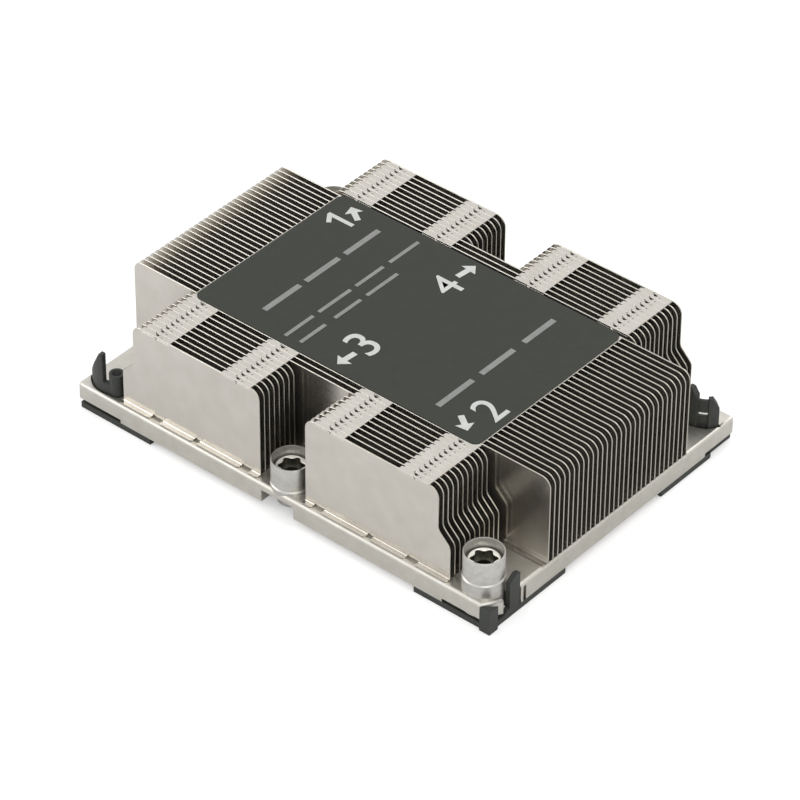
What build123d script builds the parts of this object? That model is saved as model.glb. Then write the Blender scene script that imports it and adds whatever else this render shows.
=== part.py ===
import os
from math import radians, tan

from build123d import *

# A low passive cooler for a server processor, in millimetres. The origin is the centre of the
# contact face under the base plate. X runs along the long side, along the fins, Y across the fins
# and Z up. Stations 1 to 4 are the captive nuts, in the order in which they are tightened:
# 1 and 2 stand at opposite corners, 3 and 4 in the notches halfway along the long sides.

# Base plate
base_length = 108.0
base_width = 78.0
base_thickness = 4.5
base_edge_radius = 0.8
base_corner_radius = 1.0
contact_height = 0.2
contact_gap_x = 1.3
contact_gap_y = 1.5
relief_depth = 0.8
relief_length = 11.8
relief_width = 9.7
lug_length = 2.3
lug_width = 4.3
pocket_length = 8.4
pocket_width = 8.6
web_thickness = 1.6
edge_slot_width = 0.8
edge_slot_depth = 1.2
edge_slot_height = 3.7
edge_slot_setback = 1.2

# Folded fins
fin_pitch = 1.46
fin_thickness = 0.36
fin_height = 20.9
fin_corner_radius = 2.5
side_rows = 8
bridge_rows = 3
stack_margin = 0.05
sleeve_gap = 1.45
waist_inset = 3.1
waist_height = 7.9
waist_radius = 2.0
notch_width = 11.8
fold_clearance = 0.04
tab_width = 7.6
tab_inset = 2.4
foot_gaps = ((2.3, 4.9), (16.1, 17.5), (26.1, 28.9))

# Label sheet
label_inset = 6.0
label_overlap = 0.17
label_thickness = 0.2
label_chamfer = 1.5
label_shift = -0.4

# Stations
corner_inset_x = 5.5
corner_inset_y = 4.9
middle_inset = 4.4
corner_lift = 2.6

# Nut sleeves
rim_height = 10.8
ledge_drop = 5.5
sleeve_diameter = 8.4
sleeve_bore = 7.7
collar_diameter = 8.7
floor_thickness = 0.6
spigot_diameter = 7.6
seat_clearance = 0.02

# Captive nuts, springs and retaining rings
nut_drop = 1.8
nut_bottom = 0.5
head_diameter = 6.6
head_height = 2.2
barrel_diameter = 5.0
barrel_clearance = 0.08
thread_diameter = 3.3
recess_depth = 1.8
recess_across = 5.6
recess_core = 4.1
lobe_tip = 1.0
lobe_count = 6
recess_turn = 40.0
ring_diameter = 5.9
ring_clearance = 0.02
stop_gap = 0.05
ring_bore_gap = 0.4
spring_wire = 0.5
spring_turns = 2.75
spring_runs_per_turn = 8
spring_gap = 0.35
spring_end_gap = 0.06

# Carrier clip
clip_thickness = 1.4
window_length = 76.6
frame_side = 2.7
frame_setback = 4.0
frame_gap = 0.45
corner_bar_width = 4.6
hook_bar_length = 19.0
hook_bar_start = 0.9
hook_side_start = 7.8
hook_side_length = 16.3
post_bar_length = 18.9
post_side_length = 23.5
post_size = 2.6
post_overhang = 0.5
post_height = 4.7
nut_hole_diameter = 8.6
upright_thickness = 1.1
upright_foot = 34.4
upright_start = 32.8
upright_end = 29.7
upright_height = 8.6
upright_fall = 1.4
upright_peak = 1.1
upright_end_fall = 0.4
foot_radius = 4.0
clip_clearance = 0.3

# Guards: curved walls of the clip that stand in slots at the two corners without a nut. Each has
# its centre, measured from the corner, and the start and end angles of its teeth.
guard_wall = 1.2
left_guard_radius = 6.1
left_guard_inset = (5.8, 7.2)
left_tooth = (217.0, 274.0)
left_wall_end = 294.0
right_guard_radius = 5.0
right_guard_inset = (5.4, 2.9)
inner_tooth = (258.0, 286.0)
outer_tooth = (313.0, 340.0)
tall_tooth_height = 14.0
short_tooth_height = 11.8
guard_join = 1.0
join_wall = 0.6
guard_low_height = 7.2
guard_slit = 0.8
guard_bar_height = 11.1
guard_slope = 62.0
guard_tip = 0.9
guard_slot_margin = 3.5
cup_reach = 5.0
cup_angle = 301.5
cup_diameter = 3.2
cup_bore = 2.0
cup_height = 9.6

# Derived places
half_length = base_length / 2
half_width = base_width / 2
plate_bottom = contact_height
plate_top = plate_bottom + base_thickness
relief_top = plate_bottom + relief_depth
web_bottom = plate_top - web_thickness
fin_top = plate_top + fin_height
fold_reach = fin_pitch - fin_thickness - fold_clearance
row_count = int((base_width - 2 * stack_margin) / fin_pitch)
centre_rows = row_count - 2 * side_rows - 2 * bridge_rows
last_row_y = half_width - stack_margin - fin_thickness / 2
half_notch = notch_width / 2
corner_x = half_length - corner_inset_x
corner_y = half_width - corner_inset_y
middle_y = half_width - middle_inset
stations = {
    "1": (-corner_x, corner_y, corner_lift),
    "2": (corner_x, -corner_y, corner_lift),
    "3": (0.0, -middle_y, 0.0),
    "4": (0.0, middle_y, 0.0),
}
collar_radius = collar_diameter / 2
spigot_radius = spigot_diameter / 2
ring_radius = ring_diameter / 2
barrel_radius = barrel_diameter / 2
side_reach = corner_x - collar_radius - sleeve_gap
floor_bottom = web_bottom
floor_top = floor_bottom + floor_thickness
nut_top = rim_height - nut_drop
head_bottom = nut_top - head_height
frame_half_width = middle_y - ring_radius - frame_gap
window_width = 2 * (frame_half_width - frame_side)
left_guard = (-half_length + left_guard_inset[0], -half_width + left_guard_inset[1])
right_guard = (half_length - right_guard_inset[0], half_width - right_guard_inset[1])
cup_centre = Vector(*left_guard) + Vector(cup_reach, 0).rotate(Axis.Z, cup_angle)
contact_length = window_length - 2 * contact_gap_x
contact_width = window_width - 2 * contact_gap_y
half_turn = Plane.XY.rotated((0, 0, 180))
both_ends = (Plane.XY, half_turn)


def row_y(row):
    return last_row_y - (row_count - 1 - row) * fin_pitch


def upright_plane(x, y):
    return Plane(origin=(x, y, 0), x_dir=(1, 0, 0), z_dir=(0, -1, 0))


def ring_piece(centre, inner, outer, start, end):
    # A piece of a flat ring between two angles
    with BuildSketch() as piece:
        with BuildLine():
            far_edge = CenterArc(centre, outer, start, end - start)
            near_edge = CenterArc(centre, inner, start, end - start)
            Line(far_edge @ 0, near_edge @ 0)
            Line(far_edge @ 1, near_edge @ 1)
        make_face()
    return piece.sketch


def make_fin(low_x, high_x, low_waist, high_waist, flanges, tabs):
    # One fin of the row at y = 0: an upright sheet, feet folded to -Y and tabs folded to +Y
    step_low = plate_top + waist_height
    step_high = step_low + waist_inset
    low_top = low_x + (waist_inset if low_waist else 0)
    high_top = high_x - (waist_inset if high_waist else 0)
    points = [(low_x, plate_top), (high_x, plate_top)]
    if high_waist:
        points += [(high_x, step_low), (high_top, step_high)]
    points += [(high_top, fin_top), (low_top, fin_top)]
    if low_waist:
        points += [(low_top, step_high), (low_x, step_low)]
    fold_width = fold_reach + fin_thickness / 2

    with BuildPart() as fin:
        with BuildSketch(Plane.XZ) as outline:
            with BuildLine():
                Polyline(*points, close=True)
            make_face()
            fillet(outline.vertices().group_by(Axis.Y)[-1], radius=fin_corner_radius)
            if low_waist or high_waist:
                bend_span = (step_low - waist_radius, step_high + waist_radius)
                bends = outline.vertices().filter_by_position(Axis.Y, *bend_span)
                fillet(bends, radius=waist_radius)
        extrude(amount=fin_thickness / 2, both=True)
        with BuildSketch(Plane.XY.offset(plate_top)):
            for start, end in flanges:
                with Locations(((start + end) / 2, 0)):
                    Rectangle(end - start, fold_width, align=(Align.CENTER, Align.MAX))
        extrude(amount=fin_thickness)
        if tabs:
            with BuildSketch(Plane.XY.offset(fin_top - fin_thickness)):
                for start, end in tabs:
                    with Locations(((start + end) / 2, 0)):
                        Rectangle(end - start, fold_width, align=(Align.CENTER, Align.MIN))
            extrude(amount=fin_thickness)
    return fin.part


def mirrored(spans):
    return [(-end, -start) for start, end in spans]


# Base plate
with BuildPart() as base_plate:
    with BuildSketch(Plane.XY.offset(plate_bottom)):
        Rectangle(base_length, base_width)
    extrude(amount=base_thickness)
    corners = base_plate.edges().filter_by(Axis.Z)
    fillet(corners.filter_by(lambda e: e.center().X * e.center().Y > 0), radius=base_corner_radius)

    # The corner beside each corner nut is cut off along a slant, clear of the clip's post
    with BuildSketch(*both_ends):
        with BuildLine():
            Polyline(
                (half_length - lug_length, -half_width),
                (half_length, -half_width),
                (half_length, -half_width + lug_width),
                close=True,
            )
        make_face()
    extrude(amount=plate_top, mode=Mode.SUBTRACT)
    fillet(base_plate.faces().sort_by(Axis.Z)[-1].edges(), radius=base_edge_radius)

    # Thinned undersides of the four corners
    with BuildSketch():
        with GridLocations(base_length - relief_length, base_width - relief_width, 2, 2):
            Rectangle(relief_length, relief_width)
    extrude(amount=relief_top, mode=Mode.SUBTRACT)

    # Pockets under the middle stations, each with its web above
    with BuildSketch(*both_ends):
        with Locations((0, -half_width + pocket_width / 2)):
            Rectangle(pocket_length, pocket_width)
    extrude(amount=web_bottom, mode=Mode.SUBTRACT)

    # Holes for the sleeves: collars in the webs, spigots at the corners
    with BuildSketch(Plane.XY.offset(web_bottom)):
        with Locations((0, -middle_y), (0, middle_y)):
            Circle(collar_radius + seat_clearance)
    extrude(amount=web_thickness, mode=Mode.SUBTRACT)
    with BuildSketch():
        with Locations((-corner_x, corner_y), (corner_x, -corner_y)):
            Circle(spigot_radius + seat_clearance)
    extrude(amount=plate_top, mode=Mode.SUBTRACT)

    # Notch for the clip's upright beside each corner nut, and the thin slot next to it
    notch_depth = upright_thickness + clip_clearance
    notch_start = half_width - lug_width
    notch_end = upright_end - clip_clearance
    with BuildSketch(*both_ends):
        with Locations((half_length - notch_depth / 2, -(notch_start + notch_end) / 2)):
            Rectangle(notch_depth, notch_start - notch_end)
    extrude(amount=plate_top, mode=Mode.SUBTRACT)
    with BuildSketch(*both_ends):
        with Locations((half_length - edge_slot_depth / 2, edge_slot_setback - notch_end)):
            Rectangle(edge_slot_depth, edge_slot_width)
    extrude(amount=plate_bottom + edge_slot_height, mode=Mode.SUBTRACT)

    # Curved slots for the clip's guards, and the round hole for the cup
    with BuildSketch():
        for centre, radius, first, last in (
            (left_guard, left_guard_radius, left_tooth[0], left_wall_end),
            (right_guard, right_guard_radius, inner_tooth[0], outer_tooth[1]),
        ):
            slot_inner = radius - guard_wall - clip_clearance
            slot_outer = radius + clip_clearance
            slot_start = first - guard_slot_margin
            slot_end = last + guard_slot_margin
            add(ring_piece(centre, slot_inner, slot_outer, slot_start, slot_end))
        with Locations(cup_centre):
            Circle(cup_diameter / 2 + clip_clearance)
    extrude(amount=plate_top, mode=Mode.SUBTRACT)

    # The contact face for the processor stands slightly proud of the underside
    with BuildSketch():
        Rectangle(contact_length, contact_width)
    extrude(amount=contact_height)
base_plate.part.label = "base_plate"

# Fins: the flanges and tabs lie in the same columns in every row
full_foot = [(half_notch, side_reach)]
foot_starts = [half_notch, *[half_notch + end for _, end in foot_gaps]]
foot_ends = [*[half_notch + start for start, _ in foot_gaps], side_reach]
split_foot = list(zip(foot_starts, foot_ends))
inner_tab = half_notch + tab_inset
outer_tab = side_reach - waist_inset - tab_inset
right_tabs = [(inner_tab, inner_tab + tab_width), (outer_tab - tab_width, outer_tab)]
left_tabs = mirrored(right_tabs)


def side_pair(foot, has_tabs):
    # The left and the right fin of a side row
    right = make_fin(half_notch, side_reach, False, True, foot, right_tabs if has_tabs else [])
    left = make_fin(
        -side_reach, -half_notch, True, False, mirrored(foot), left_tabs if has_tabs else []
    )
    return [left, right]


first_pair = side_pair(split_foot, True)
inner_pair = side_pair(full_foot, True)
last_pair = side_pair(full_foot, False)
whole_foot = [(-side_reach, side_reach)]
bridge_fin = make_fin(-side_reach, side_reach, True, True, whole_foot, left_tabs + right_tabs)
# The label covers the tabs of the centre rows, which are left plain
long_foot = [(-half_length, half_length)]
centre_fin = make_fin(-half_length, half_length, False, False, long_foot, [])
first_bridge = side_rows
first_centre = first_bridge + bridge_rows
first_far_bridge = first_centre + centre_rows
first_far_side = first_far_bridge + bridge_rows
last_row = row_count - 1
fin_nodes = {
    "centre_fins": [([centre_fin], range(first_centre, first_far_bridge))],
    "near_bridge_fins": [([bridge_fin], range(first_bridge, first_centre))],
    "far_bridge_fins": [([bridge_fin], range(first_far_bridge, first_far_side))],
    "near_side_fins": [(first_pair, [0]), (inner_pair, range(1, side_rows))],
    "far_side_fins": [(inner_pair, range(first_far_side, last_row)), (last_pair, [last_row])],
}
fin_stacks = []
for name, groups in fin_nodes.items():
    with BuildPart() as stack:
        for fins, rows in groups:
            with Locations(*[(0, row_y(row), 0) for row in rows]):
                add(fins)
    stack.part.label = name
    fin_stacks.append(stack.part)

# Label sheet on the tops of the centre block and the bridges
with BuildPart() as label_sheet:
    label_width = centre_rows * fin_pitch + 2 * label_overlap
    label_y = (row_y(first_centre) + row_y(first_far_bridge - 1)) / 2 + label_shift
    with BuildSketch(Plane.XY.offset(fin_top)) as sheet:
        with Locations((0, label_y)):
            Rectangle(2 * (side_reach - label_inset), label_width)
        chamfer(sheet.vertices(), length=label_chamfer)
    extrude(amount=label_thickness)
label_sheet.part.label = "label_sheet"


def make_sleeve(x, y, lift):
    # A tube with a collar below the ledge. Corner sleeves stand on the plate with a spigot in
    # it, middle sleeves sit in the web with their collar.
    rim = rim_height + lift
    ledge = rim - ledge_drop
    tube = sleeve_diameter / 2
    bore = sleeve_bore / 2
    hole = barrel_radius + barrel_clearance
    points = [
        (hole, floor_bottom + lift),
        (hole, floor_top + lift),
        (bore, floor_top + lift),
        (bore, rim),
        (tube, rim),
        (tube, ledge),
        (collar_radius, ledge),
    ]
    if lift > 0:
        lower_bore = ring_radius + ring_bore_gap
        points += [
            (collar_radius, plate_top),
            (spigot_radius, plate_top),
            (spigot_radius, relief_top),
            (lower_bore, relief_top),
            (lower_bore, floor_bottom + lift),
        ]
    else:
        points += [(collar_radius, floor_bottom)]
    with BuildPart() as sleeve:
        with BuildSketch(upright_plane(x, y)):
            with BuildLine():
                Polyline(*points, close=True)
            make_face()
        revolve(axis=Axis((x, y, 0), (0, 0, 1)))
    return sleeve.part


def make_nut(x, y, lift):
    # A long nut with a six-lobe recess in its head. The thread's bore runs up to the recess.
    head = head_diameter / 2
    bore = thread_diameter / 2
    top = nut_top + lift
    recess_floor = top - recess_depth
    # Each lobe has a flat tip, and a point of the core lies between two lobes
    lobe = [Vector(recess_across / 2, side * lobe_tip / 2) for side in (-1, 1)]
    valley = Vector(recess_core / 2, 0).rotate(Axis.Z, 180 / lobe_count)
    turns = [recess_turn + index * 360 / lobe_count for index in range(lobe_count)]
    outline = [corner.rotate(Axis.Z, turn) for turn in turns for corner in (*lobe, valley)]
    with BuildPart() as nut:
        with BuildSketch(upright_plane(x, y)):
            with BuildLine():
                Polyline(
                    (bore, nut_bottom + lift),
                    (barrel_radius, nut_bottom + lift),
                    (barrel_radius, head_bottom + lift),
                    (head, head_bottom + lift),
                    (head, top),
                    (bore, top),
                    close=True,
                )
            make_face()
        revolve(axis=Axis((x, y, 0), (0, 0, 1)))
        with BuildSketch(Plane((x, y, recess_floor))):
            with BuildLine():
                Polyline(*outline, close=True)
            make_face()
        extrude(amount=recess_depth, mode=Mode.SUBTRACT)
    return nut.part


def make_ring(x, y, lift):
    # The retaining ring on the barrel's lower end stops the nut against the sleeve's floor
    with BuildPart() as ring:
        with BuildSketch(Plane((x, y, nut_bottom + lift))):
            Circle(ring_radius)
            Circle(barrel_radius + ring_clearance, mode=Mode.SUBTRACT)
        extrude(amount=floor_bottom - stop_gap - nut_bottom)
    return ring.part


def make_spring(x, y, lift):
    # An open coil of flat-sided wire between the sleeve's floor and the nut's head, in short runs
    rise = head_bottom - floor_top - spring_wire - 2 * spring_end_gap
    radius = barrel_radius + spring_gap + spring_wire / 2
    start = floor_top + lift + spring_wire / 2 + spring_end_gap
    runs = round(spring_turns * spring_runs_per_turn)
    points = []
    for step in range(runs + 1):
        turned = Vector(radius, 0, 0).rotate(Axis.Z, step * 360 / spring_runs_per_turn)
        points.append(turned + Vector(x, y, start + rise * step / runs))
    with BuildPart() as spring:
        with BuildLine() as path:
            Polyline(*points)
        with BuildSketch(Plane(path.line @ 0, x_dir=(0, 0, 1), z_dir=path.line % 0)):
            Rectangle(spring_wire, spring_wire)
        sweep(path=path.line, transition=Transition.RIGHT)
    return spring.part


station_parts = []
for number, (x, y, lift) in stations.items():
    pieces = {
        "sleeve": make_sleeve(x, y, lift),
        "nut": make_nut(x, y, lift),
        "retaining_ring": make_ring(x, y, lift),
        "spring": make_spring(x, y, lift),
    }
    for name, piece in pieces.items():
        piece.label = name + "_" + number
        station_parts.append(piece)


def make_tooth(centre, radius, angles, height, tip_at_end):
    # A tooth on the guard's curve, whose top slopes steeply up to its narrow tip
    start, end = angles
    tip_angle = end if tip_at_end else start
    away = Vector(0, -1 if tip_at_end else 1, 0).rotate(Axis.Z, tip_angle)
    shoulder = Vector(radius, 0, height).rotate(Axis.Z, tip_angle) + away * guard_tip
    rise = tan(radians(guard_slope))
    roof = Plane(
        origin=shoulder + Vector(*centre, 0),
        x_dir=away - Vector(0, 0, rise),
        z_dir=Vector(0, 0, 1) + away * rise,
    )
    with BuildPart() as tooth:
        with BuildSketch(Plane.XY.offset(plate_bottom)):
            add(ring_piece(centre, radius - guard_wall, radius, start, end))
        extrude(amount=height - plate_bottom)
        split(bisect_by=roof, keep=Keep.BOTTOM)
    return tooth.part


def make_wall(centre, inner, thickness, start, end, bottom, top):
    with BuildPart() as wall:
        with BuildSketch(Plane.XY.offset(bottom)):
            add(ring_piece(centre, inner, inner + thickness, start, end))
        extrude(amount=top - bottom)
    return wall.part


# Carrier clip: a frame round the processor window, bars under the plate's corners, corner posts,
# uprights and guards, all one moulding
clip_bottom = Plane.XY.offset(plate_bottom - clip_thickness)
with BuildPart() as carrier_clip:
    with BuildSketch(clip_bottom):
        Rectangle(base_length - 2 * frame_setback, 2 * frame_half_width)
    with BuildSketch(clip_bottom, half_turn.offset(plate_bottom - clip_thickness)):
        # Corner with a guard
        bar_width = half_width - window_width / 2
        bar_y = -half_width + bar_width / 2
        with Locations((-half_length + hook_bar_start + hook_bar_length / 2, bar_y)):
            Rectangle(hook_bar_length, bar_width)
        side_y = -half_width + hook_side_start + hook_side_length / 2
        with Locations((-half_length + corner_bar_width / 2, side_y)):
            Rectangle(corner_bar_width, hook_side_length)
        # Corner with a nut, a post and an upright
        with Locations((half_length - post_bar_length / 2, bar_y)):
            Rectangle(post_bar_length, bar_width)
        side_y = -half_width + post_side_length / 2
        with Locations((half_length - corner_bar_width / 2, side_y)):
            Rectangle(corner_bar_width, post_side_length)
        with Locations((half_length + post_overhang - post_size / 2,
                        -half_width - post_overhang + post_size / 2)):
            Rectangle(post_size, post_size)
    extrude(amount=clip_thickness)
    with BuildSketch(clip_bottom):
        Rectangle(window_length, window_width)
        with Locations((-corner_x, corner_y), (corner_x, -corner_y)):
            Circle(nut_hole_diameter / 2)
    extrude(amount=clip_thickness, mode=Mode.SUBTRACT)

    # Corner posts, bevelled towards the plate
    post_x = half_length + post_overhang
    post_y = half_width + post_overhang
    with BuildSketch(*[plane.offset(plate_bottom) for plane in both_ends]):
        with BuildLine():
            Polyline(
                (post_x - post_size, -post_y),
                (post_x, -post_y),
                (post_x, -post_y + post_size),
                close=True,
            )
        make_face()
    extrude(amount=post_height - plate_bottom)

    # Uprights beside the corner nuts, with a curved foot and a slanted top
    for plane in (Plane.YZ, Plane.YZ.rotated((0, 0, 180))):
        with BuildSketch(plane.offset(half_length - upright_thickness)):
            with BuildLine():
                Polyline(
                    (-upright_start, relief_top),
                    (-upright_start, upright_height - upright_fall),
                    (-upright_end - upright_peak, upright_height),
                    (-upright_end, upright_height - upright_end_fall),
                    (-upright_end, plate_bottom),
                    (-upright_foot, plate_bottom),
                )
                RadiusArc((-upright_foot, plate_bottom), (-upright_start, relief_top), foot_radius)
            make_face()
        extrude(amount=upright_thickness)

    # Left guard: a tooth, and a low wall from it to a small cup
    add(make_tooth(left_guard, left_guard_radius, left_tooth, tall_tooth_height, True))
    inner = left_guard_radius - guard_wall
    low = (plate_bottom, guard_low_height)
    add(make_wall(left_guard, inner, guard_wall, left_tooth[1] - guard_join, left_wall_end, *low))
    with BuildSketch(Plane.XY.offset(plate_bottom)):
        with Locations(cup_centre):
            Circle(cup_diameter / 2)
    extrude(amount=cup_height - plate_bottom)
    with BuildSketch(Plane.XY.offset(guard_low_height)):
        with Locations(cup_centre):
            Circle(cup_bore / 2)
    extrude(amount=cup_height - guard_low_height, mode=Mode.SUBTRACT)

    # Right guard: two teeth joined by a low wall and by a bar above a slit
    add(make_tooth(right_guard, right_guard_radius, inner_tooth, tall_tooth_height, False))
    add(make_tooth(right_guard, right_guard_radius, outer_tooth, short_tooth_height, False))
    inner = right_guard_radius - guard_wall
    span = (inner_tooth[1] - guard_join, outer_tooth[0] + guard_join)
    bar = (guard_low_height + guard_slit, guard_bar_height)
    add(make_wall(right_guard, inner, join_wall, *span, *low))
    add(make_wall(right_guard, inner, join_wall, *span, *bar))
carrier_clip.part.label = "carrier_clip"

os.makedirs("parts", exist_ok=True)
finished = [base_plate.part, *fin_stacks, label_sheet.part, *station_parts, carrier_clip.part]
for piece in finished:
    export_step(piece, "parts/" + piece.label + ".step")
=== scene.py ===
from math import cos, pi, radians, sin, tan

import bmesh
import bpy
from mathutils import Matrix, Vector


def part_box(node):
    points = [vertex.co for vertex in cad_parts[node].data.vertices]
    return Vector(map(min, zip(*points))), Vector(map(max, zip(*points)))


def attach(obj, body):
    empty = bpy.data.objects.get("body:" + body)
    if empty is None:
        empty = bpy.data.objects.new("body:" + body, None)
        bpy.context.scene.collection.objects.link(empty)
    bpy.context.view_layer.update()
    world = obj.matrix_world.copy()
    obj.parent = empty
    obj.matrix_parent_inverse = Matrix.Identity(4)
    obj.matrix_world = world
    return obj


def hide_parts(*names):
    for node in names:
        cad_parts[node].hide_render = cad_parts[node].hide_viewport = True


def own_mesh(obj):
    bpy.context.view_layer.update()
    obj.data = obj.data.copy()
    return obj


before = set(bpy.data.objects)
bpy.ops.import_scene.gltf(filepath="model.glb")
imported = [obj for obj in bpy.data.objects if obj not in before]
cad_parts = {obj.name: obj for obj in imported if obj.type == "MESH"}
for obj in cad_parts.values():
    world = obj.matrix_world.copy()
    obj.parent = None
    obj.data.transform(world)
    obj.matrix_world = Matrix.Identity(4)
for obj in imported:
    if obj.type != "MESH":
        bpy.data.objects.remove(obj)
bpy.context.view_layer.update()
mm = 0.001  # the pieces' dictionaries are in millimetres, the scene is in metres

squareAngle = 1.2  # radians: an edge is square from here on

print("frame loaded:", len(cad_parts), "nodes")


# Shared places, read from the frame

centreLow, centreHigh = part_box("centre_fins")
nearLow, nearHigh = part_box("near_side_fins")
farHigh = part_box("far_side_fins")[1]
labelLow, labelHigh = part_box("label_sheet")
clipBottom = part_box("carrier_clip")[0].z
plateTop = centreLow.z / mm
finTop = centreHigh.z / mm


# Small tools for meshes

def finishedPiece(name, mesh, material, body, nodes=()):
    # A plain mesh at the origin that rides on its body and stands for its nodes
    piece = bpy.data.objects.new(name, mesh)
    bpy.context.scene.collection.objects.link(piece)
    mesh.materials.clear()
    mesh.materials.append(material)
    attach(piece, body)
    if nodes:
        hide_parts(*nodes)
    return piece


def meshFrom(shape, name, sharpAngle=35):
    # Turns a bmesh in millimetres into a mesh in metres with smooth rounds and crisp edges
    bmesh.ops.scale(shape, vec=(mm, mm, mm), verts=shape.verts)
    mesh = bpy.data.meshes.new(name)
    shape.to_mesh(mesh)
    shape.free()
    mesh.polygons.foreach_set("use_smooth", [True] * len(mesh.polygons))
    mesh.set_sharp_from_angle(angle=radians(sharpAngle))
    return mesh


def roundedPath(corners, steps=6):
    # A closed path of (x, y, radius) corners, each with its round
    path = []
    for index, (x, y, radius) in enumerate(corners):
        here = Vector((x, y))
        if radius == 0:
            path.append(here)
            continue
        back = (Vector(corners[index - 1][:2]) - here).normalized()
        ahead = (Vector(corners[(index + 1) % len(corners)][:2]) - here).normalized()
        half = back.angle(ahead) / 2
        middle = here + (back + ahead).normalized() * radius / sin(half)
        first = here + back * radius / tan(half) - middle
        last = here + ahead * radius / tan(half) - middle
        for step in range(steps + 1):
            path.append(middle + first.slerp(last, step / steps) * radius)
    return path


def addSlab(shape, outer, holes, low, high, place, softness=0.0):
    # A flat plate with holes between two heights. place turns (u, v, w) into a point.
    piece = bmesh.new()
    edges = []
    for loop in [outer, *holes]:
        verts = [piece.verts.new((u, v, low)) for u, v in loop]
        edges += [piece.edges.new((verts[i - 1], verts[i])) for i in range(len(verts))]
    if holes:
        bmesh.ops.triangle_fill(piece, use_beauty=True, edges=edges)
    else:
        piece.faces.new(piece.verts)
    lifted = bmesh.ops.extrude_face_region(piece, geom=piece.faces[:])["geom"]
    lifted = [item for item in lifted if isinstance(item, bmesh.types.BMVert)]
    bmesh.ops.translate(piece, vec=(0, 0, high - low), verts=lifted)
    bmesh.ops.recalc_face_normals(piece, faces=piece.faces)
    if softness:
        # Only the edges around both flat faces and the square corners are broken
        rims = [e for e in piece.edges if e.is_manifold and e.calc_face_angle() > squareAngle]
        bmesh.ops.bevel(piece, geom=rims, offset=softness, segments=1, affect="EDGES")
    for vert in piece.verts:
        vert.co = place(*vert.co)
    bmesh.ops.recalc_face_normals(piece, faces=piece.faces)
    addShape(shape, piece)


def addShape(shape, piece):
    holder = bpy.data.meshes.new("holder")
    piece.to_mesh(holder)
    piece.free()
    shape.from_mesh(holder)
    bpy.data.meshes.remove(holder)


def ringMesh(name, centre, rings, steps=96, sharpAngle=35):
    # A turned piece with a hole: closed rings of (radius, height), joined in a loop.
    # A radius can be a function of the angle.
    shape = bmesh.new()
    loops = []
    for radius, height in rings:
        loop = []
        for step in range(steps):
            angle = 2 * pi * step / steps
            reach = radius(angle) if callable(radius) else radius
            x = centre[0] + reach * cos(angle)
            y = centre[1] + reach * sin(angle)
            loop.append(shape.verts.new((x, y, height)))
        loops.append(loop)
    for index, loop in enumerate(loops):
        last = loops[index - 1]
        for step in range(steps):
            shape.faces.new((last[step - 1], last[step], loop[step], loop[step - 1]))
    bmesh.ops.recalc_face_normals(shape, faces=shape.faces)
    return meshFrom(shape, name, sharpAngle)


# Small tools for node trees

def newTree(name, inputs):
    tree = bpy.data.node_groups.new(name, "GeometryNodeTree")
    for label, kind, value in inputs:
        socket = tree.interface.new_socket(label, in_out="INPUT", socket_type=kind)
        if value is not None:
            socket.default_value = value
    tree.interface.new_socket("Geometry", in_out="OUTPUT", socket_type="NodeSocketGeometry")
    return tree, tree.nodes.new("NodeGroupInput"), tree.nodes.new("NodeGroupOutput")


def addNode(tree, kind, links=(), **settings):
    # A node with its settings and the sockets that feed it, as (own socket, node, socket)
    node = tree.nodes.new(kind)
    for key, value in settings.items():
        setattr(node, key, value)
    for own, other, name in links:
        tree.links.new(other.outputs[name], node.inputs[own])
    return node


def endTree(tree, given, output, geometry, name="Geometry"):
    real = addNode(tree, "GeometryNodeRealizeInstances", [("Geometry", geometry, name)])
    painted = addNode(
        tree, "GeometryNodeSetMaterial", [("Geometry", real, "Geometry"), ("Material", given, "Material")]
    )
    tree.links.new(painted.outputs["Geometry"], output.inputs["Geometry"])


def settledMesh(holder):
    # The plain mesh of an object with its modifiers applied; the object itself goes
    bpy.context.view_layer.update()
    graph = bpy.context.evaluated_depsgraph_get()
    mesh = bpy.data.meshes.new_from_object(holder.evaluated_get(graph), depsgraph=graph)
    bpy.data.objects.remove(holder)
    return mesh


def grownMesh(name, tree, values):
    # Runs a node tree on an empty object and keeps the result as a plain mesh
    holder = bpy.data.objects.new(name, bpy.data.meshes.new(name))
    bpy.context.scene.collection.objects.link(holder)
    modifier = holder.modifiers.new("Nodes", "NODES")
    modifier.node_group = tree
    sockets = {s.name: s.identifier for s in tree.interface.items_tree if s.in_out == "INPUT"}
    for label, value in values.items():
        modifier[sockets[label]] = value
    mesh = settledMesh(holder)
    mesh.name = name
    return mesh


# Finishes

def paintTree(name):
    material = bpy.data.materials.new(name)
    material.use_nodes = True
    tree = material.node_tree
    tree.nodes.clear()
    shader = tree.nodes.new("ShaderNodeBsdfPrincipled")
    output = tree.nodes.new("ShaderNodeOutputMaterial")
    tree.links.new(shader.outputs["BSDF"], output.inputs["Surface"])
    return material, tree, shader


def grain(tree, scale, stretch=(1, 1, 1), detail=4.0):
    # Noise on the object's own coordinates, stretched along an axis for a brushed look
    place = tree.nodes.new("ShaderNodeTexCoord")
    mapping = addNode(tree, "ShaderNodeMapping", [("Vector", place, "Object")])
    mapping.inputs["Scale"].default_value = stretch
    noise = addNode(tree, "ShaderNodeTexNoise", [("Vector", mapping, "Vector")])
    noise.inputs["Scale"].default_value = scale
    noise.inputs["Detail"].default_value = detail
    return noise


def spread(tree, source, low, high):
    # The middle of a noise, stretched between two values
    scaled = addNode(tree, "ShaderNodeMapRange", [("Value", source, "Fac")])
    scaled.inputs["From Min"].default_value = 0.3
    scaled.inputs["From Max"].default_value = 0.7
    scaled.inputs["To Min"].default_value = low
    scaled.inputs["To Max"].default_value = high
    return scaled


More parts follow.
